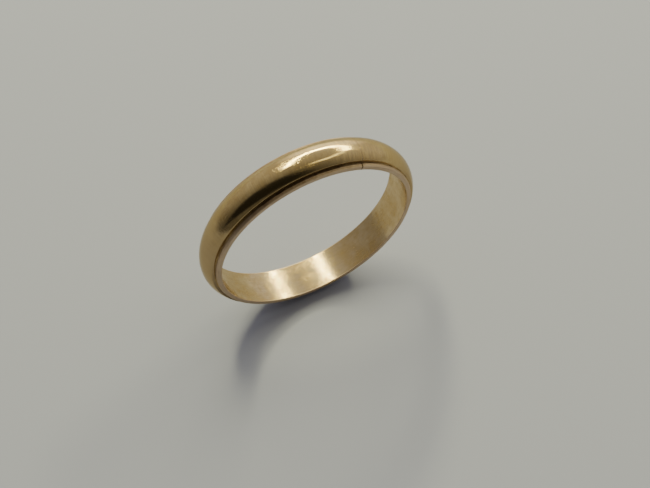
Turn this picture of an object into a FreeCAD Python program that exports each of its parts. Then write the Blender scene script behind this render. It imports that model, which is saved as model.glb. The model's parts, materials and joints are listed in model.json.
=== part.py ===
"""A two-part wedding band, standing on its edge.

The finger bore runs along Y through the origin, and the band's mid-plane is Y = 0.
An inner flat sleeve carries an outer half-round band. A thin solder layer joins the two,
and a soldered butt seam closes each of them at the same place on the circle.
"""

import FreeCAD, Part

import math
import os

import Sketcher

# Millimetres, and one angle in degrees.
SIZES = {
    "finger_bore_diameter": 18.95,
    "sleeve_width": 3.56,
    "sleeve_wall": 0.495,
    "side_face_height": 0.4,
    "ledge_slope_width": 0.2,
    "bore_edge_round": 0.06,
    "side_edge_round": 0.03,
    "solder_film": 0.05,
    "solder_fillet": 0.07,
    "dome_width": 2.72,
    "dome_foot_height": 0.27,
    "dome_rise": 0.53,
    "dome_edge_round": 0.07,
    "seam_width": 0.12,
    "seam_place_angle": 63.0,
}

# Radii and half widths from the bore axis and the mid-plane, in terms of the sheet.
BORE_R = "Sizes.finger_bore_diameter / 2"
SIDE_R = f"({BORE_R} + Sizes.side_face_height)"
SLEEVE_R = f"({BORE_R} + Sizes.sleeve_wall)"
FILLET_R = f"({SLEEVE_R} + Sizes.solder_fillet)"
DOME_BORE_R = f"({SLEEVE_R} + Sizes.solder_film)"
FOOT_R = f"({DOME_BORE_R} + Sizes.dome_foot_height)"
SLEEVE_HALF = "Sizes.sleeve_width / 2"
LEDGE_HALF = f"({SLEEVE_HALF} - Sizes.ledge_slope_width)"
DOME_HALF = "Sizes.dome_width / 2"
FILLET_HALF = f"({DOME_HALF} + Sizes.solder_fillet)"
# A circle through both feet and the crown, and a fillet twice as flat as a quarter circle.
DOME_ARC_R = f"(({DOME_HALF}) ^ 2 + Sizes.dome_rise ^ 2) / (2 * Sizes.dome_rise)"
FILLET_ARC_R = "2 * Sizes.solder_fillet"
# The seam's width as an angle, where the two bands meet.
SEAM_ANGLE = f"(Sizes.seam_width / {SLEEVE_R} * 180 / pi)"
SEAM_START = f"Sizes.seam_place_angle + {SEAM_ANGLE} / 2"
SEAM_END = f"Sizes.seam_place_angle - {SEAM_ANGLE} / 2"

# How a sketch names its own origin and its X axis.
ORIGIN = (-1, 1)
MID_PLANE = -1
LENGTH_TOLERANCE = 1e-5


def make_sheet(doc):
    """The spreadsheet that drives every size."""
    sheet = doc.addObject("Spreadsheet::Sheet", "Sizes")
    for row, (name, value) in enumerate(SIZES.items(), start=1):
        sheet.set(f"A{row}", name)
        sheet.set(f"B{row}", str(value))
        sheet.setAlias(f"B{row}", name)
    doc.recompute()


def make_body(doc, name):
    """An empty body with a sketch on its XY plane: X is the radius, Y runs along the bore."""
    body = doc.addObject("PartDesign::Body", name)
    body.Label = name
    plane = next(f for f in body.Origin.OriginFeatures if f.Role == "XY_Plane")
    sketch = body.newObject("Sketcher::SketchObject", name + "_section")
    sketch.AttachmentSupport = [(plane, "")]
    sketch.MapMode = "FlatFace"
    return body, sketch


def arc_between(start, end, radius, bulge):
    """The short arc from start to end, on the side that bulge points to."""
    chord = end - start
    middle = (start + end) / 2
    across = FreeCAD.Vector(-chord.y, chord.x, 0).normalize()
    if across.dot(bulge) < 0:
        across = -across
    rise = radius - math.sqrt(radius**2 - (chord.Length / 2) ** 2)
    return Part.Arc(start, middle + across * rise, end)


def draw_section(sketch, corners, arcs):
    """Draw a closed outline that is symmetrical about the mid-plane.

    corners are the (radius, half width) expressions of its corners on the +Y side, in order
    from the finger outwards. arcs gives {edge: (radius expression, bulge direction)} for the
    edges that are round: edge i leaves corner i, and the last one crosses the mid-plane.
    """
    count = len(corners)
    points = [
        FreeCAD.Vector(sketch.evalExpression(r), sketch.evalExpression(w), 0)
        for r, w in corners
    ]
    points += [FreeCAD.Vector(p.x, -p.y, 0) for p in reversed(points)]
    last = len(points) - 1
    ends = []
    for i, start in enumerate(points):
        end = points[(i + 1) % len(points)]
        twin = i if i < count else last - 1 - i
        if twin in arcs:
            radius, bulge = arcs[twin]
            side = 1 if i < count else -1
            direction = FreeCAD.Vector(bulge[0], bulge[1] * side, 0)
            curve = arc_between(start, end, sketch.evalExpression(radius), direction)
        else:
            curve = Part.LineSegment(start, end)
        edge = sketch.addGeometry(curve)
        forward = sketch.getPoint(edge, 1).isEqual(start, LENGTH_TOLERANCE)
        ends.append((edge, 1, 2) if forward else (edge, 2, 1))
        if twin in arcs:
            name = f"arc_{i}"
            add_size(sketch, name, arcs[twin][0], "Radius", edge)
    for i, (edge, _, tail) in enumerate(ends):
        following, head, _ = ends[(i + 1) % len(ends)]
        sketch.addConstraint(
            Sketcher.Constraint("Coincident", edge, tail, following, head)
        )
    for i, (radius, half_width) in enumerate(corners):
        edge, head, _ = ends[i]
        twin_edge, twin_head, _ = ends[last - i]
        add_size(sketch, f"radius_{i}", radius, "DistanceX", *ORIGIN, edge, head)
        add_size(sketch, f"half_width_{i}", half_width, "DistanceY", *ORIGIN, edge, head)
        sketch.addConstraint(
            Sketcher.Constraint(
                "Symmetric", edge, head, twin_edge, twin_head, MID_PLANE
            )
        )


def add_size(sketch, name, expression, kind, *where):
    """A named dimension in the sketch, bound to the sheet."""
    value = sketch.evalExpression(expression)
    index = sketch.addConstraint(Sketcher.Constraint(kind, *where, value))
    sketch.renameConstraint(index, name)
    sketch.setExpression(f"Constraints.{name}", expression)


def revolve(body, sketch, start, sweep):
    """Turn the section about the bore axis, from the angle start down through sweep."""
    ring = body.newObject("PartDesign::Revolution", body.Name + "_ring")
    ring.Profile = sketch
    ring.ReferenceAxis = (sketch, ["V_Axis"])
    ring.setExpression("Angle", sweep)
    to_start = FreeCAD.Rotation(FreeCAD.Vector(0, -1, 0), SIZES["seam_place_angle"])
    body.Placement = FreeCAD.Placement(FreeCAD.Vector(), to_start)
    body.setExpression("Placement.Rotation.Angle", start)
    return ring


def round_edges(body, base, name, radius, half_width, size):
    """Round the two hoop edges at this radius, one on each side of the mid-plane."""
    body.Document.recompute()
    r = base.evalExpression(radius)
    y = base.evalExpression(half_width)
    names = []
    for i, edge in enumerate(base.Shape.Edges, start=1):
        if not isinstance(edge.Curve, Part.Circle):
            continue
        centre = edge.Curve.Center
        on_axis = math.hypot(centre.x, centre.z) < LENGTH_TOLERANCE
        at_side = abs(abs(centre.y) - y) < LENGTH_TOLERANCE
        if on_axis and at_side and abs(edge.Curve.Radius - r) < LENGTH_TOLERANCE:
            names.append(f"Edge{i}")
    if len(names) != 2:
        raise RuntimeError(f"{body.Label}: {name} found {len(names)} edges, not 2")
    rounding = body.newObject("PartDesign::Fillet", f"{body.Name}_{name}")
    rounding.Base = (base, names)
    rounding.setExpression("Radius", size)
    return rounding


def make_sleeve_section(doc, name, start, sweep):
    """A stretch of the inner flat band, with its sloped ledges and softened edges."""
    body, sketch = make_body(doc, name)
    corners = [(BORE_R, SLEEVE_HALF), (SIDE_R, SLEEVE_HALF), (SLEEVE_R, LEDGE_HALF)]
    draw_section(sketch, corners, {})
    shape = revolve(body, sketch, start, sweep)
    shape = round_edges(
        body, shape, "bore_edges", BORE_R, SLEEVE_HALF, "Sizes.bore_edge_round"
    )
    round_edges(
        body, shape, "side_edges", SIDE_R, SLEEVE_HALF, "Sizes.side_edge_round"
    )
    return body


def make_dome_section(doc, name, start, sweep):
    """A stretch of the outer half-round band, with an upright foot on each side."""
    body, sketch = make_body(doc, name)
    corners = [(DOME_BORE_R, DOME_HALF), (FOOT_R, DOME_HALF)]
    draw_section(sketch, corners, {1: (DOME_ARC_R, (1, 0))})
    shape = revolve(body, sketch, start, sweep)
    round_edges(body, shape, "foot_edges", FOOT_R, DOME_HALF, "Sizes.dome_edge_round")
    return body


def make_solder_layer(doc):
    """The solder between the bands, with a fillet in the corner under each side of the dome."""
    body, sketch = make_body(doc, "solder_layer")
    corners = [(SLEEVE_R, FILLET_HALF), (FILLET_R, DOME_HALF), (DOME_BORE_R, DOME_HALF)]
    draw_section(sketch, corners, {0: (FILLET_ARC_R, (-1, -1))})
    revolve(body, sketch, SEAM_START, "360")
    return body


def check(doc, bodies):
    """Stop if anything failed to build."""
    for item in doc.Objects:
        if {"Invalid", "Error"} & set(item.State):
            raise RuntimeError(f"{item.Label} is {item.State}")
        if item.isDerivedFrom("Sketcher::SketchObject") and not item.FullyConstrained:
            raise RuntimeError(f"{item.Label} is not fully constrained")
    for body in bodies:
        shape = body.Shape
        if shape.isNull() or not shape.isValid() or len(shape.Solids) != 1:
            raise RuntimeError(f"{body.Label} is not one valid solid")
        print(f"{body.Label}: {shape.Volume:.3f} mm3")


def main():
    doc = FreeCAD.newDocument("wedding_band")
    make_sheet(doc)
    rest_of_circle = f"360 - {SEAM_ANGLE}"
    bodies = [
        make_sleeve_section(doc, "finger_sleeve", SEAM_END, rest_of_circle),
        make_sleeve_section(doc, "sleeve_seam_solder", SEAM_START, SEAM_ANGLE),
        make_dome_section(doc, "dome_band", SEAM_END, rest_of_circle),
        make_dome_section(doc, "dome_seam_solder", SEAM_START, SEAM_ANGLE),
        make_solder_layer(doc),
    ]
    doc.recompute()
    check(doc, bodies)
    os.makedirs("parts", exist_ok=True)
    for body in bodies:
        body.Shape.exportStep(f"parts/{body.Label}.step")


main()
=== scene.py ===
"""A worn two-part gold wedding band, standing on a pale floor in soft studio light."""

import json
import math

import bpy
import numpy as np
from mathutils import Matrix, Vector, noise


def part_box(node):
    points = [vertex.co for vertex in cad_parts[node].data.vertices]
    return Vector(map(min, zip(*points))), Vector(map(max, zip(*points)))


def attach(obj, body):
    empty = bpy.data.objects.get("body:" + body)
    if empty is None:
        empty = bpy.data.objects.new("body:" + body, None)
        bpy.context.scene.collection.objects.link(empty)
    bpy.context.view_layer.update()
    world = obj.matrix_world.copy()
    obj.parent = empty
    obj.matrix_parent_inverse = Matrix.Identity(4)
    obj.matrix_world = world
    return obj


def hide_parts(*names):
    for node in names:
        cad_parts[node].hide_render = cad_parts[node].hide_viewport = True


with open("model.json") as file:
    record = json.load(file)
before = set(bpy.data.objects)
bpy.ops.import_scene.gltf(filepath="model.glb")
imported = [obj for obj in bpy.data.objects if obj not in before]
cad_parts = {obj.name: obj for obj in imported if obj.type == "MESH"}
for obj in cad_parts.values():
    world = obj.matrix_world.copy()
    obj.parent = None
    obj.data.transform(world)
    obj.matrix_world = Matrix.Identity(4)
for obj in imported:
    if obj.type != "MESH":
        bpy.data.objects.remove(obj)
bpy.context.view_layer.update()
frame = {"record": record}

# ---------------------------------------------------------------- sizes, in millimetres

MM = 0.001
BORE = next(m for m in frame["record"]["mounts"] if m["name"] == "finger_bore")
BORE_R = BORE["dims"]["r_mm"]
CROWN_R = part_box("dome_band")[1].x / MM
DOME_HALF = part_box("dome_band")[1].y / MM
SLEEVE_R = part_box("finger_sleeve")[1].x / MM
SLEEVE_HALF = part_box("finger_sleeve")[1].y / MM
FILLET_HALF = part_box("solder_layer")[1].y / MM
SIDE_FACE_HEIGHT = 0.4
LEDGE_SLOPE_WIDTH = 0.2
SOLDER_FILM = 0.05
DOME_RISE = 0.53
BORE_EDGE_ROUND = 0.06
SIDE_EDGE_ROUND = 0.03
LEDGE_EDGE_ROUND = 0.03
DOME_EDGE_ROUND = 0.07
HIDDEN_EDGE_ROUND = 0.015
SEAM_WIDTH = 0.12
SEAM_PLACE = math.radians(63)

SIDE_R = BORE_R + SIDE_FACE_HEIGHT
LEDGE_HALF = SLEEVE_HALF - LEDGE_SLOPE_WIDTH
DOME_BORE_R = SLEEVE_R + SOLDER_FILM
DOME_ARC_R = (DOME_HALF**2 + DOME_RISE**2) / (2 * DOME_RISE)
DOME_ARC_CENTRE = CROWN_R - DOME_ARC_R
FILLET = FILLET_HALF - DOME_HALF
SEAM_ANGLE = SEAM_WIDTH / SLEEVE_R
FULL_TURN = 2 * math.pi

# How far the solder of each seam has sunk below the gold beside it.
SLEEVE_SEAM_SINK = 0.004
DOME_SEAM_SINK = 0.002

# How finely a mesh follows its outline, and how many steps it takes round the circle.
SECTION_STEP = 0.07
ROUND_STEP = 0.012
RINGS = 700
SEAM_RINGS = 6
SHARP_ANGLE = math.radians(35)
ANGLE_TOLERANCE = 1e-9
WEAR_MAP = "wear"

# The waves that wear has left in each surface: depth, size of the bumps, and seed.
SLEEVE_WAVES = [(0.003, 1.9, 3.0), (0.0012, 0.6, 8.0)]
DOME_WAVES = [(0.004, 2.6, 1.0), (0.0012, 0.8, 5.0)]
FILLET_WAVES = [(0.012, 0.9, 12.0)]
# How far a seed moves the noise along each axis.
SEED_SHIFT = (1, 0.37, -0.61)
# Points this close to a hidden face or its side count as part of it.
FACE_MARGIN = 0.01
SIDE_MARGIN = 0.02
# Wear starts this far above the seat of the dome, and is full at twice that.
DOME_WEAR_START = 0.1


# ---------------------------------------------------------------- outlines of the sections
# An outline is a closed loop of (radius, along the bore) points, in millimetres.


def line_points(start, end, step):
    """Points from start towards end, without end."""
    count = max(1, math.ceil(math.dist(start, end) / step))
    share = np.arange(count)[:, None] / count
    return np.array(start) * (1 - share) + np.array(end) * share


def arc_points(centre, radius, start, end, step):
    """Points on an arc from the angle start towards end, without end."""
    count = max(3, math.ceil(abs(end - start) * radius / step))
    angle = start + (end - start) * np.arange(count) / count
    return np.array(centre) + radius * np.stack([np.cos(angle), np.sin(angle)], 1)


def rounded_outline(corners, rounds, step, round_step):
    """A polygon with each corner rounded by a tangent arc of its own radius."""
    corners = [np.array(c, float) for c in corners]
    count = len(corners)
    entries = []
    for i, corner in enumerate(corners):
        back = corners[i - 1] - corner
        ahead = corners[(i + 1) % count] - corner
        back /= np.linalg.norm(back)
        ahead /= np.linalg.norm(ahead)
        half = math.acos(np.clip(back @ ahead, -1, 1)) / 2
        bisector = back + ahead
        bisector /= np.linalg.norm(bisector)
        centre = corner + bisector * rounds[i] / math.sin(half)
        cut = rounds[i] / math.tan(half)
        entries.append((centre, corner + back * cut, corner + ahead * cut, rounds[i]))
    points = []
    for i, (centre, first, last, radius) in enumerate(entries):
        start = math.atan2(*(first - centre)[::-1])
        turn = math.atan2(*(last - centre)[::-1]) - start
        turn = (turn + math.pi) % FULL_TURN - math.pi
        points.append(arc_points(centre, radius, start, start + turn, round_step))
        points.append(line_points(last, entries[(i + 1) % count][1], step))
    return np.concatenate(points)


def sleeve_outline(step, round_step):
    """The flat section: the bore, and a side face, a ledge and a slope on each rim."""
    half = [
        (BORE_R, SLEEVE_HALF, BORE_EDGE_ROUND),
        (SIDE_R, SLEEVE_HALF, SIDE_EDGE_ROUND),
        (SLEEVE_R, LEDGE_HALF, LEDGE_EDGE_ROUND),
    ]
    corners = [(r, -y, round_) for r, y, round_ in half]
    corners += [(r, y, round_) for r, y, round_ in reversed(half)]
    return rounded_outline(
        [c[:2] for c in corners], [c[2] for c in corners], step, round_step
    )


def dome_outline(step, round_step):
    """The half-round section: crown arc, softened foot edges, upright feet and a flat seat.

    The seat is hidden, so its points are further apart.
    """
    foot_y = DOME_HALF - DOME_EDGE_ROUND
    reach = math.sqrt((DOME_ARC_R - DOME_EDGE_ROUND) ** 2 - foot_y**2)
    foot = np.array([DOME_ARC_CENTRE + reach, foot_y])
    lean = math.atan2(foot_y, reach)
    seat_y = DOME_HALF - HIDDEN_EDGE_ROUND
    seat = np.array([DOME_BORE_R + HIDDEN_EDGE_ROUND, seat_y])
    flip = np.array([1, -1])
    right, down, left = math.pi / 2, -math.pi / 2, math.pi
    small = HIDDEN_EDGE_ROUND / 2
    return np.concatenate(
        [
            arc_points((DOME_ARC_CENTRE, 0), DOME_ARC_R, -lean, lean, step),
            arc_points(foot, DOME_EDGE_ROUND, lean, right, round_step),
            line_points((foot[0], DOME_HALF), (seat[0], DOME_HALF), step),
            arc_points(seat, HIDDEN_EDGE_ROUND, right, left, small),
            line_points((DOME_BORE_R, seat_y), (DOME_BORE_R, -seat_y), 4 * step),
            arc_points(seat * flip, HIDDEN_EDGE_ROUND, -left, down, small),
            line_points((seat[0], -DOME_HALF), (foot[0], -DOME_HALF), step),
            arc_points(foot * flip, DOME_EDGE_ROUND, down, -lean, round_step),
        ]
    )


def solder_outline(step, round_step):
    """The film between the bands, with a hollow fillet in the corner on each side."""
    hollow = 2 * FILLET
    half_turn = math.asin(FILLET * math.sqrt(0.5) / hollow)
    offset = FILLET / 2 + hollow * math.cos(half_turn) * math.sqrt(0.5)
    centre = np.array([SLEEVE_R + offset, DOME_HALF + offset])
    # The direction from the centre of the upper arc to the corner between the bands.
    corner = math.radians(225)
    upper = arc_points(centre, hollow, corner + half_turn, corner - half_turn, round_step)
    lower = arc_points(
        centre * (1, -1), hollow, half_turn - corner, -half_turn - corner, round_step
    )
    climb = SLEEVE_R + FILLET
    return np.concatenate(
        [
            line_points((DOME_BORE_R, -DOME_HALF), (DOME_BORE_R, DOME_HALF), step),
            line_points((DOME_BORE_R, DOME_HALF), (climb, DOME_HALF), step),
            upper,
            line_points((SLEEVE_R, FILLET_HALF), (SLEEVE_R, -FILLET_HALF), step),
            lower,
            line_points((climb, -DOME_HALF), (DOME_BORE_R, -DOME_HALF), step),
        ]
    )


# ---------------------------------------------------------------- rings


def outline_normals(outline):
    """Unit normals that point out of a closed loop that runs anticlockwise."""
    along = np.roll(outline, -1, 0) - np.roll(outline, 1, 0)
    normals = np.stack([along[:, 1], -along[:, 0]], 1)
    return normals / np.linalg.norm(normals, axis=1)[:, None]


def ripple(points, size, seed):
    """Smooth noise between -1 and 1 at each point, with bumps of this size."""
    shift = Vector([share * seed for share in SEED_SHIFT])
    return np.array([noise.noise(Vector(p) / size + shift) for p in points])


def waves(points, layers):
    """How far each point has sunk, as the sum of several layers of bumps."""
    return sum(depth * ripple(points, size, seed) for depth, size, seed in layers)


def lathe(name, outline, start, sweep, rings, wear):
    """A closed ring, or a stretch of one, turned from an outline.

    wear(points, outline) gives how far each point of the surface has sunk, in millimetres.
    """
    whole = abs(sweep - FULL_TURN) < ANGLE_TOLERANCE
    ring_count = rings if whole else rings + 1
    angles = start + sweep * np.arange(ring_count) / rings
    count = len(outline)
    radius = np.tile(outline[:, 0], ring_count)
    along = np.tile(outline[:, 1], ring_count)
    angle = np.repeat(angles, count)

    def placed(r, y):
        return np.stack([r * np.cos(angle), y, r * np.sin(angle)], 1)

    points = placed(radius, along)
    sunk = wear(points, np.tile(outline, (ring_count, 1)))
    normals = np.tile(outline_normals(outline), (ring_count, 1))
    points = placed(radius - sunk * normals[:, 0], along - sunk * normals[:, 1])

    first = np.arange(rings)[:, None] * count + np.arange(count)[None, :]
    following = np.arange(rings)[:, None] * count + (np.arange(count)[None, :] + 1) % count
    total = ring_count * count
    quads = np.stack([first, following, following + count, first + count], -1)
    faces = (quads.reshape(-1, 4) % total).tolist()
    if not whole:
        faces.append(list(range(count))[::-1])
        faces.append(list(range(total - count, total)))
    mesh = bpy.data.meshes.new(name)
    mesh.from_pydata(points * MM, [], faces)
    add_wear_map(mesh, outline, rings, sweep)
    mesh.shade_smooth()
    mesh.set_sharp_from_angle(angle=SHARP_ANGLE)
    piece = bpy.data.objects.new(name, mesh)
    bpy.context.scene.collection.objects.link(piece)
    return piece


def add_wear_map(mesh, outline, rings, sweep):
    """A map in millimetres for the scratches: u runs round the band and v across it."""
    steps = np.linalg.norm(np.roll(outline, -1, 0) - outline, axis=1)
    v = np.concatenate([[0], np.cumsum(steps)])
    u = sweep * np.arange(rings + 1) / rings * SLEEVE_R
    count = len(outline)
    corners = np.zeros((rings, count, 4, 2))
    for i, (along, across) in enumerate([(0, 0), (0, 1), (1, 1), (1, 0)]):
        corners[:, :, i, 0] = u[along : along + rings, None]
        corners[:, :, i, 1] = v[None, across : across + count]
    flat = np.zeros((len(mesh.loops), 2))
    flat[: rings * count * 4] = corners.reshape(-1, 2)
    layer = mesh.uv_layers.new(name=WEAR_MAP)
    layer.data.foreach_set("uv", flat.astype(np.float32).ravel())


# ---------------------------------------------------------------- the five pieces


def sleeve_wear(points, outline):
    """Shallow waves from years on the hand; the seat under the dome is left alone."""
    outside = outline[:, 0] > SLEEVE_R - FACE_MARGIN
    under_dome = abs(outline[:, 1]) < FILLET_HALF + SIDE_MARGIN
    return np.where(outside & under_dome, 0, waves(points, SLEEVE_WAVES))


def dome_wear(points, outline):
    """Broad flats and small dents on the dome, none on its hidden seat."""
    height = outline[:, 0] - DOME_BORE_R
    open_share = np.clip((height - DOME_WEAR_START) / DOME_WEAR_START, 0, 1)
    return open_share * waves(points, DOME_WAVES)


def seam_wear(wear, sink):
    """The same surface, sunk a little where the solder has shrunk."""
    return lambda points, outline: wear(points, outline) + sink


def solder_wear(points, outline):
    """An uneven fillet; the film between the bands keeps its size."""
    fillet = abs(outline[:, 1]) > DOME_HALF + FACE_MARGIN
    return np.where(fillet, waves(points, FILLET_WAVES), 0)


def build_pieces():
    """The mesh of each CAD node. The bands start and end at the seam."""
    sleeve = sleeve_outline(SECTION_STEP, ROUND_STEP)
    dome = dome_outline(SECTION_STEP, ROUND_STEP)
    solder = solder_outline(SECTION_STEP, ROUND_STEP)
    band = (SEAM_PLACE + SEAM_ANGLE / 2, FULL_TURN - SEAM_ANGLE, RINGS)
    seam = (SEAM_PLACE - SEAM_ANGLE / 2, SEAM_ANGLE, SEAM_RINGS)
    whole = (0, FULL_TURN, RINGS)
    sleeve_seam_wear = seam_wear(sleeve_wear, SLEEVE_SEAM_SINK)
    dome_seam_wear = seam_wear(dome_wear, DOME_SEAM_SINK)
    return {
        "finger_sleeve": lathe("worn_sleeve", sleeve, *band, sleeve_wear),
        "sleeve_seam_solder": lathe("sleeve_seam", sleeve, *seam, sleeve_seam_wear),
        "dome_band": lathe("worn_dome", dome, *band, dome_wear),
        "dome_seam_solder": lathe("dome_seam", dome, *seam, dome_seam_wear),
        "solder_layer": lathe("solder_fillets", solder, *whole, solder_wear),
    }


# ---------------------------------------------------------------- materials

# Colours are linear. The edge tint is the colour of gold seen at a grazing angle.
GOLD = (0.62, 0.463, 0.212, 1)
DEEP_GOLD = (0.50, 0.345, 0.135, 1)
PALE_GOLD = (0.66, 0.512, 0.300, 1)
# A darker, older gold, also the colour of the painted shade on the lower side of the dome.
OLD_AND_SHADED_GOLD = (0.35, 0.255, 0.148, 1)
MATT_GOLD = (0.52, 0.402, 0.310, 1)
SOLDER = (0.36, 0.26, 0.14, 1)
# Dark grime, also the colour of the painted shade in the groove and on the ledge beside the dome's foot.
GRIME_AND_SHADE = (0.14, 0.086, 0.048, 1)
GOLD_EDGE_TINT = (0.86, 0.80, 0.66, 1)

# Each set of scratches: angle to the band, how drawn out it is, lines in a millimetre, seed.
SCRATCH_SETS = [
    (3, 60.0, 7.0, 1.7),
    (-14, 40.0, 5.0, 6.1),
    (81, 34.0, 6.0, 9.4),
    (47, 28.0, 4.0, 14.8),
]
SCRATCH_HALF_WIDTH = 0.022

# Scale of the brushing round the band and across it: for strokes that run across, and round it.
BRUSHED_ACROSS = (9.0, 0.6)
BRUSHED_ROUND = (0.4, 9.0)

# Bumps in a millimetre of the three noises, from broad to fine.
PATCHES = 0.45
MOTTLE = 2.2
GRAIN = 9.0

# Depths in millimetres. Brushing is deeper by this factor where the seam was dressed.
SCRATCH_DEPTH = 0.0016
GRAIN_DEPTH = 0.0011
BRUSHED_DEPTH = 0.004
DRESSED_DEPTH = 1.25

# What each kind of mark adds to the roughness, and how far the patches change it as a factor.
MOTTLE_ROUGHNESS = 0.03
BRUSHED_ROUGHNESS = 0.035
SCRATCH_ROUGHNESS = 0.08
DRESSED_ROUGHNESS = 0.05
MATT_ROUGHNESS = 0.28
GRIME_AND_SHADE_ROUGHNESS = 0.45
PATCH_ROUGHNESS = (0.8, 1.25)

# How much of the duller colour each kind of mark brings at most.
PATCH_TARNISH = 0.8
MOTTLE_TARNISH = 0.5
STROKE_TARNISH = 0.25
DRESSED_TARNISH = 0.5
MATT_TARNISH = 0.75
# The painted shade on the lower side of the dome.
LOWER_SHADE_STRENGTH = 0.75

# Where the values of a noise mostly lie, how much the mottling varies the dirt and painted shade,
# and how much of a scratch is left where the gold was polished since.
NOISE_RANGE = (0.3, 0.7)
RAGGED_DIRT_AND_SHADE = (0.75, 1.15)
POLISHED_SCRATCH = 0.1

# The values of its noise between which each kind of mark appears; scratches follow the patches.
PATCH_SPAN = (0.35, 0.7)
MOTTLE_SPAN = (0.42, 0.7)
STROKE_SPAN = (0.36, 0.62)
SCRATCH_SPAN = (0.42, 0.66)

# Where the file and brush that dressed the seam have reached, as angles from the seam.
DRESSED_FULL = math.radians(5)
DRESSED_END = math.radians(20)

# The place with most dirt and painted shade, which stands in for the dim reflection of the groove and
# ledge round the top of the band. They grow from the first share to the second as the cosine of
# the angle from that place goes through its range.
DIRT_AND_SHADE_PLACE = math.radians(98)
DIRT_AND_SHADE_COSINES = (0.70, 0.98)
DIRT_AND_SHADE_SHARES = (0.15, 0.95)

# The painted shade on the lower side of the dome, which dims its reflection of the floor, ends
# between these heights on the circle, where 1 is the top.
LOWER_SHADE_HEIGHTS = (0.30, 0.80)

# Each mask changes between two distances beyond an edge of the section, in millimetres.
FOOT_DIRT_AND_SHADE_SPAN = (0.04, 0.20)
CORNER_DIRT_AND_SHADE_SPAN = (0.10, 0.60)
LEDGE_DIRT_AND_SHADE_SPAN = (-0.03, 0.03)
SEAM_DIRT_SPAN = (-0.20, -0.06)
BARE_EDGE_SPAN = (0.015, 0.05)
SIDE_FACE_SPAN = (-0.12, -0.05)
LEDGE_FACE_SPAN = (-0.12, -0.02)
# The dirt and painted shade left on the bare edge and at the top of the fillet, and the dirt in the
# seam from inside to outside, where more than 1 outweighs a place on the band with little dirt and
# shade.
BARE_EDGE_DIRT_AND_SHADE = 0.65
FILLET_TOP_DIRT_AND_SHADE = 0.85
SEAM_DIRT = (0.5, 4.0)


class Nodes:
    """A short way to write a node tree."""

    def __init__(self, tree):
        self.tree = tree

    def add(self, kind, inputs=None, **settings):
        """A node with these settings; a socket among the inputs is linked and a value is set."""
        node = self.tree.nodes.new(kind)
        for name, value in settings.items():
            setattr(node, name, value)
        for name, value in (inputs or {}).items():
            if isinstance(value, bpy.types.NodeSocket):
                self.tree.links.new(value, node.inputs[name])
            else:
                node.inputs[name].default_value = value
        return node

    def maths(self, operation, first, second=0.0, clamp=False):
        """One operation on two numbers or sockets."""
        inputs = {0: first, 1: second}
        return self.add("ShaderNodeMath", inputs, operation=operation, use_clamp=clamp).outputs[0]

    def ranged(self, value, low, high, to_low, to_high, smooth=False):
        """A value that goes from to_low to to_high while another goes from low to high."""
        inputs = {0: value, 1: low, 2: high, 3: to_low, 4: to_high}
        kind = "SMOOTHSTEP" if smooth else "LINEAR"
        return self.add("ShaderNodeMapRange", inputs, interpolation_type=kind).outputs[0]

    def fade(self, value, edge, span, start, end):
        """A smooth change from start to end, between two distances beyond an edge."""
        return self.ranged(value, edge + span[0], edge + span[1], start, end, True)

    def noise(self, where, scale, detail=2.0, roughness=0.5):
        """Smooth noise, with scale bumps in a unit."""
        inputs = {"Vector": where, "Scale": scale, "Detail": detail, "Roughness": roughness}
        return self.add("ShaderNodeTexNoise", inputs).outputs["Fac"]

    def mixed(self, share, first, second):
        """Two colours mixed; the colour sockets of this node are its inputs 6 and 7 and its output 2."""
        inputs = {0: share, 6: first, 7: second}
        return self.add("ShaderNodeMix", inputs, data_type="RGBA").outputs[2]

    def vector(self, operation, *inputs, **named_inputs):
        """Both outputs of a vector operation, Vector and Value."""
        inputs = {**dict(enumerate(inputs)), **named_inputs}
        return self.add("ShaderNodeVectorMath", inputs, operation=operation).outputs


def scratches(n, wear_map, angle, stretch, density, seed):
    """Fine lines at one angle, as a height from 0, untouched, to 1, the bottom of a scratch."""
    turn = (0, 0, math.radians(angle))
    shift = (seed, seed, seed)
    inputs = {"Vector": wear_map, "Rotation": turn, "Location": shift}
    turned = n.add("ShaderNodeMapping", inputs)
    drawn = n.add("ShaderNodeMapping", {"Vector": turned.outputs[0], "Scale": (1 / stretch, 1, 1)})
    lines = n.noise(drawn.outputs[0], density, detail=1.0)
    ridge = n.maths("ABSOLUTE", n.maths("SUBTRACT", lines, 0.5))
    return n.ranged(ridge, 0.0, SCRATCH_HALF_WIDTH, 1.0, 0.0)


class Surface:
    """Where a point of the band is, in millimetres, as sockets for the masks of a material."""

    def __init__(self, n):
        place = n.add("ShaderNodeTexCoord").outputs["Object"]
        self.place = n.vector("SCALE", place, Scale=1 / MM)["Vector"]
        along = n.add("ShaderNodeSeparateXYZ", {0: self.place}).outputs["Y"]
        self.from_middle = n.maths("ABSOLUTE", along)
        flat = n.vector("MULTIPLY", self.place, (1, 0, 1))["Vector"]
        self.radius = n.vector("LENGTH", flat)["Value"]
        outward = n.vector("NORMALIZE", flat)["Vector"]

        def cosine_to(angle):
            where = (math.cos(angle), 0, math.sin(angle))
            return n.vector("DOT_PRODUCT", outward, where)["Value"]

        near, far = math.cos(DRESSED_FULL), math.cos(DRESSED_END)
        self.dressed = n.ranged(cosine_to(SEAM_PLACE), far, near, 0.0, 1.0, True)
        # Dirt and painted shade are strongest round one place near the top of the band.
        self.dirt_and_shade = n.ranged(cosine_to(DIRT_AND_SHADE_PLACE), *DIRT_AND_SHADE_COSINES, *DIRT_AND_SHADE_SHARES, True)
        height = n.add("ShaderNodeSeparateXYZ", {0: outward}).outputs["Z"]
        # Painted shade: 1 on the lower side of the band, fading out towards the top.
        self.lower_side_shade = n.ranged(height, *LOWER_SHADE_HEIGHTS, 1.0, 0.0, True)
        self.wear_map = n.add("ShaderNodeUVMap", uv_map=WEAR_MAP).outputs[0]


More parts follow.
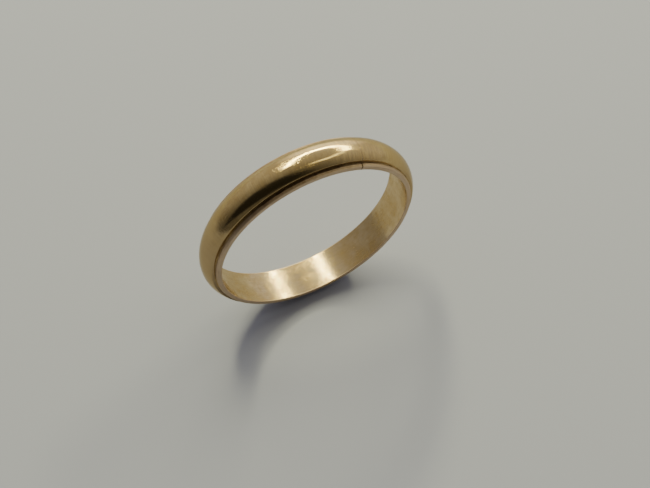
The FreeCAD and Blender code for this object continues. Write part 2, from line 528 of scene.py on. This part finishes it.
def dome_grime_and_shade(n, at):
    """Dirt and painted shade on the foot of the dome, down in the groove."""
    return n.fade(at.radius, DOME_BORE_R, FOOT_DIRT_AND_SHADE_SPAN, 1.0, 0.0)


def bare_edge(n, at):
    """Less dirt and painted shade on the edge between ledge and slope, where wear keeps the gold bare,
    and 1 elsewhere.
    """
    offset = n.maths("ABSOLUTE", n.maths("SUBTRACT", at.from_middle, LEDGE_HALF))
    return n.fade(offset, 0, BARE_EDGE_SPAN, BARE_EDGE_DIRT_AND_SHADE, 1.0)


def sleeve_grime_and_shade(n, at):
    """Dirt and painted shade on the ledge and the slope, most of it close to the foot of the dome, which
    shades them.
    """
    near_corner = n.fade(at.from_middle, DOME_HALF, CORNER_DIRT_AND_SHADE_SPAN, 1.0, 0.0)
    on_ledge = n.fade(at.radius, SIDE_R, LEDGE_DIRT_AND_SHADE_SPAN, 0.0, 1.0)
    return n.maths("MULTIPLY", n.maths("MULTIPLY", near_corner, on_ledge), bare_edge(n, at))


def solder_grime_and_shade(n, at):
    """Dirt and painted shade all over the fillet down in the groove, a little less at its top."""
    return n.ranged(at.radius, SLEEVE_R, SLEEVE_R + FILLET, 1.0, FILLET_TOP_DIRT_AND_SHADE)


def seam_grime(n, at):
    """Dirt caught in the sunk seam, from the ledge down to the top of the side faces."""
    return n.fade(at.radius, SIDE_R, SEAM_DIRT_SPAN, *SEAM_DIRT)


def outer_faces(n, at):
    """1 on the side faces, the slopes and the ledges of the sleeve, 0 in the bore."""
    side = n.fade(at.from_middle, SLEEVE_HALF, SIDE_FACE_SPAN, 0.0, 1.0)
    ledge = n.fade(at.radius, SIDE_R, LEDGE_FACE_SPAN, 0.0, 1.0)
    return n.maths("MAXIMUM", side, ledge)


def nowhere(n, at):
    """0 everywhere."""
    return n.maths("MULTIPLY", at.from_middle, 0.0)


def mark_heights(n, at, patches, brushed):
    """The scratches, faded where the gold was polished since, and the bump from all the marks."""
    layers = [scratches(n, at.wear_map, *scratch_set) for scratch_set in SCRATCH_SETS]
    marks = layers[0]
    for layer in layers[1:]:
        marks = n.maths("MAXIMUM", marks, layer)
    left = n.ranged(patches, *SCRATCH_SPAN, POLISHED_SCRATCH, 1.0, True)
    faded = n.maths("MULTIPLY", marks, left)
    grain = n.noise(at.place, GRAIN, detail=2.0, roughness=0.6)
    depth = n.ranged(at.dressed, 0, 1, BRUSHED_DEPTH, DRESSED_DEPTH * BRUSHED_DEPTH)
    height = n.maths("MULTIPLY", brushed, depth)
    height = n.maths("ADD", height, n.maths("MULTIPLY", grain, GRAIN_DEPTH))
    height = n.maths("SUBTRACT", height, n.maths("MULTIPLY", faded, SCRATCH_DEPTH))
    bump = n.add("ShaderNodeBump", {"Height": height, "Strength": 1.0, "Distance": MM})
    return faded, bump.outputs[0]


def worn_gold(
    name, colour, tarnish, roughness, brushing, grime_and_shade_mask, matt_mask=nowhere, lower_shade_strength=0.0
):
    """Yellow gold with a hand-worn satin polish.

    brushing is the scale of the brushed grain: large along the axis that the lines cross.
    """
    material = bpy.data.materials.new(name)
    material.use_nodes = True
    n = Nodes(material.node_tree)
    shader = material.node_tree.nodes["Principled BSDF"]
    shader.inputs["Metallic"].default_value = 1.0
    shader.inputs["Specular Tint"].default_value = GOLD_EDGE_TINT

    at = Surface(n)
    patches = n.noise(at.place, PATCHES, detail=4.0, roughness=0.6)
    mottle = n.noise(at.place, MOTTLE, detail=3.0, roughness=0.6)
    drawn = n.add("ShaderNodeMapping", {"Vector": at.wear_map, "Scale": (*brushing, 1)}).outputs[0]
    brushed = n.noise(drawn, 1.0, detail=3.0, roughness=0.6)
    faded, bump = mark_heights(n, at, patches, brushed)
    matt = matt_mask(n, at)
    dirt_and_shade = n.maths("MULTIPLY", n.ranged(mottle, *NOISE_RANGE, *RAGGED_DIRT_AND_SHADE), at.dirt_and_shade)
    # Dirt and painted shade: where its mask is, the colour darkens towards the grime colour and
    # roughens.
    grime_and_shade = n.maths("MULTIPLY", grime_and_shade_mask(n, at), dirt_and_shade, clamp=True)

    strokes = n.ranged(brushed, *STROKE_SPAN, 0.0, 1.0, True)
    most = n.ranged(at.dressed, 0.0, 1.0, STROKE_TARNISH, DRESSED_TARNISH)
    stroke_share = n.maths("MULTIPLY", strokes, most)
    base = n.mixed(n.ranged(patches, *PATCH_SPAN, 0.0, PATCH_TARNISH, True), colour, tarnish)
    base = n.mixed(n.ranged(mottle, *MOTTLE_SPAN, 0.0, MOTTLE_TARNISH, True), base, tarnish)
    base = n.mixed(stroke_share, base, OLD_AND_SHADED_GOLD)
    # Painted shade on the lower side of the dome, dimming its reflection of the floor.
    base = n.mixed(n.maths("MULTIPLY", at.lower_side_shade, lower_shade_strength), base, OLD_AND_SHADED_GOLD)
    base = n.mixed(n.maths("MULTIPLY", matt, MATT_TARNISH), base, MATT_GOLD)
    # Dirt and painted shade darken the colour here.
    base = n.mixed(grime_and_shade, base, GRIME_AND_SHADE)

    least, most = (roughness * factor for factor in PATCH_ROUGHNESS)
    satin = n.ranged(patches, *NOISE_RANGE, least, most)
    for noise_value, swing in ((mottle, MOTTLE_ROUGHNESS), (brushed, BRUSHED_ROUGHNESS)):
        satin = n.maths("ADD", satin, n.ranged(noise_value, *NOISE_RANGE, -swing, swing))
    for mask, added in (
        (faded, SCRATCH_ROUGHNESS),
        (at.dressed, DRESSED_ROUGHNESS),
        (matt, MATT_ROUGHNESS),
    ):
        satin = n.maths("ADD", satin, n.maths("MULTIPLY", mask, added))
    satin = n.maths("ADD", satin, n.maths("MULTIPLY", grime_and_shade, GRIME_AND_SHADE_ROUGHNESS), clamp=True)

    for value, socket in ((base, "Base Color"), (satin, "Roughness"), (bump, "Normal")):
        material.node_tree.links.new(value, shader.inputs[socket])
    return material


def make_materials():
    """The material of each CAD node."""
    return {
        "finger_sleeve": worn_gold(
            "sleeve_gold",
            colour=PALE_GOLD,
            tarnish=DEEP_GOLD,
            roughness=0.18,
            brushing=BRUSHED_ROUND,
            grime_and_shade_mask=sleeve_grime_and_shade,
            matt_mask=outer_faces,
        ),
        "sleeve_seam_solder": worn_gold(
            "sleeve_seam_gold",
            colour=SOLDER,
            tarnish=GRIME_AND_SHADE,
            roughness=0.32,
            brushing=BRUSHED_ROUND,
            grime_and_shade_mask=seam_grime,
            matt_mask=outer_faces,
        ),
        "dome_band": worn_gold(
            "dome_gold",
            colour=GOLD,
            tarnish=DEEP_GOLD,
            roughness=0.10,
            brushing=BRUSHED_ACROSS,
            grime_and_shade_mask=dome_grime_and_shade,
            lower_shade_strength=LOWER_SHADE_STRENGTH,
        ),
        "dome_seam_solder": worn_gold(
            "dome_seam_gold",
            colour=DEEP_GOLD,
            tarnish=OLD_AND_SHADED_GOLD,
            roughness=0.17,
            brushing=BRUSHED_ACROSS,
            grime_and_shade_mask=dome_grime_and_shade,
            lower_shade_strength=LOWER_SHADE_STRENGTH,
        ),
        "solder_layer": worn_gold(
            "fillet_gold",
            colour=DEEP_GOLD,
            tarnish=GRIME_AND_SHADE,
            roughness=0.45,
            brushing=BRUSHED_ROUND,
            grime_and_shade_mask=solder_grime_and_shade,
        ),
    }


# ---------------------------------------------------------------- floor, light and camera

FLOOR_HALF = 0.45
FLOOR_COLOUR = (0.388, 0.405, 0.535, 1)
FLOOR_ROUGHNESS = 0.9
WINDOW_DISTANCE = 0.4
WINDOW_COLOUR = (1.0, 0.96, 0.52)
SKY_COLOUR = (1.0, 0.975, 0.90, 1)
BACKDROP_COLOUR = (0.8, 0.8, 0.8, 1)
BACKDROP_STRENGTH = 0.5

# The light of the room, to which each soft glow adds its own. A glow is given by its azimuth
# and elevation, the degrees out to its end, and its strength.
ROOM_STRENGTH = 0.13
GLOWS = [(25, 10, 120, 0.55), (28, 15, 32, 1.4), (95, 8, 55, 0.18)]
# The room is dark where two cones overlap, and this share of the light is left there. A cone is
# given by its azimuth and elevation, and the degrees at which it starts to fade and ends.
DARK_CONES = [(-5, 50, 86, 93), (-145, 25, 44, 55)]
DARK_SHARE = 0.18

# The camera: the azimuth and elevation it is seen at from the ring, and its distance and aim in
# radii of the bore.
VIEW_AZIMUTH = 206.1
VIEW_ELEVATION = 59.1
VIEW_DISTANCE = 9.86
AIM_RIGHT = 0.163
AIM_DOWN = 0.189
LENS = 55.4
CLIP_START = 0.005


def direction(azimuth, elevation):
    """A unit vector; azimuth is in degrees from +Y towards +X, elevation above the floor."""
    a, e = math.radians(azimuth), math.radians(elevation)
    return Vector((math.sin(a) * math.cos(e), math.cos(a) * math.cos(e), math.sin(e)))


def make_floor():
    """A square of pale paper under the ring."""
    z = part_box("dome_band")[0].z
    sides = [(-1, -1), (1, -1), (1, 1), (-1, 1)]
    corners = [(x * FLOOR_HALF, y * FLOOR_HALF, z) for x, y in sides]
    mesh = bpy.data.meshes.new("floor")
    mesh.from_pydata(corners, [], [(0, 1, 2, 3)])
    floor = bpy.data.objects.new("floor", mesh)
    bpy.context.scene.collection.objects.link(floor)
    material = bpy.data.materials.new("floor_paper")
    material.use_nodes = True
    shader = material.node_tree.nodes["Principled BSDF"]
    shader.inputs["Base Color"].default_value = FLOOR_COLOUR
    shader.inputs["Roughness"].default_value = FLOOR_ROUGHNESS
    mesh.materials.append(material)


def make_window(name, corners, width, radiance):
    """A bent strip of light through directions seen from the ring, width degrees wide."""
    across = 2 * WINDOW_DISTANCE * math.tan(math.radians(width) / 2)
    for i, (start, end) in enumerate(zip(corners, corners[1:])):
        a = direction(*start) * WINDOW_DISTANCE
        b = direction(*end) * WINDOW_DISTANCE
        light = bpy.data.lights.new(f"{name}_{i}", "AREA")
        light.shape = "RECTANGLE"
        light.size = (b - a).length
        light.size_y = across
        light.energy = radiance * math.pi * light.size * across
        light.color = WINDOW_COLOUR
        lamp = bpy.data.objects.new(light.name, light)
        bpy.context.scene.collection.objects.link(lamp)
        middle = (a + b) / 2
        x = (b - a).normalized()
        z = middle.normalized()
        y = z.cross(x)
        rows = [(x[k], y[k], z[k], middle[k]) for k in range(3)]
        lamp.matrix_world = Matrix([*rows, (0, 0, 0, 1)])


def make_world():
    """Soft light that is brightest behind the ring and falls off to a dark room in front."""
    world = bpy.data.worlds.new("studio")
    bpy.context.scene.world = world
    world.use_nodes = True
    n = Nodes(world.node_tree)
    seen = n.add("ShaderNodeTexCoord").outputs["Generated"]

    def towards(azimuth, elevation, near, far):
        """1 within near degrees of a direction, falling smoothly to 0 at far degrees."""
        cosine = n.vector("DOT_PRODUCT", seen, direction(azimuth, elevation))["Value"]
        low, high = math.cos(math.radians(far)), math.cos(math.radians(near))
        return n.ranged(cosine, low, high, 0.0, 1.0, True)

    bright = ROOM_STRENGTH
    for azimuth, elevation, end, strength in GLOWS:
        glow = n.maths("MULTIPLY", towards(azimuth, elevation, 0, end), strength)
        bright = n.maths("ADD", glow, bright)
    above, beside = (towards(*cone) for cone in DARK_CONES)
    dark_side = n.maths("MULTIPLY", above, beside)
    strength = n.maths("MULTIPLY", bright, n.ranged(dark_side, 0, 1, 1.0, DARK_SHARE))
    lit = n.add("ShaderNodeBackground", {"Color": SKY_COLOUR, "Strength": strength})
    backdrop = {"Color": BACKDROP_COLOUR, "Strength": BACKDROP_STRENGTH}
    plain = n.add("ShaderNodeBackground", backdrop)
    by_eye = n.add("ShaderNodeLightPath").outputs["Is Camera Ray"]
    shown = n.add("ShaderNodeMixShader", {0: by_eye, 1: lit.outputs[0], 2: plain.outputs[0]})
    out = next(x for x in world.node_tree.nodes if x.type == "OUTPUT_WORLD")
    world.node_tree.links.new(shown.outputs[0], out.inputs[0])


def make_lights():
    """Three bent windows; the reflections of the first two make the bright hook on the dome."""
    left = [(-12, 65), (5, 46), (20, 35), (38, 30)]
    right = [(38, 30), (58, 31), (77, 39)]
    top = [(83, 43), (104, 56), (124, 73)]
    make_window("window_left", left, width=5, radiance=39)
    make_window("window_right", right, width=3.8, radiance=36)
    make_window("window_top", top, width=5, radiance=2.8)


def make_camera():
    """The camera looks down at the near rim, with the ring a little left of and above the middle."""
    back = direction(VIEW_AZIMUTH, VIEW_ELEVATION)
    right = direction(VIEW_AZIMUTH - 90, 0)
    down = right.cross(back)
    aside = right * (AIM_RIGHT * BORE_R) + down * (AIM_DOWN * BORE_R)
    camera = bpy.data.objects.new("camera", bpy.data.cameras.new("camera"))
    bpy.context.scene.collection.objects.link(camera)
    camera.data.lens = LENS
    camera.data.clip_start = CLIP_START
    camera.location = (aside + back * (VIEW_DISTANCE * BORE_R)) * MM
    camera.rotation_mode = "QUATERNION"
    camera.rotation_quaternion = back.to_track_quat("Z", "Y")
    bpy.context.scene.camera = camera


# ---------------------------------------------------------------- assembly

materials = make_materials()
for node, piece in build_pieces().items():
    piece.data.materials.append(materials[node])
    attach(piece, "root")
    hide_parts(node)

make_floor()
make_world()
make_lights()
make_camera()
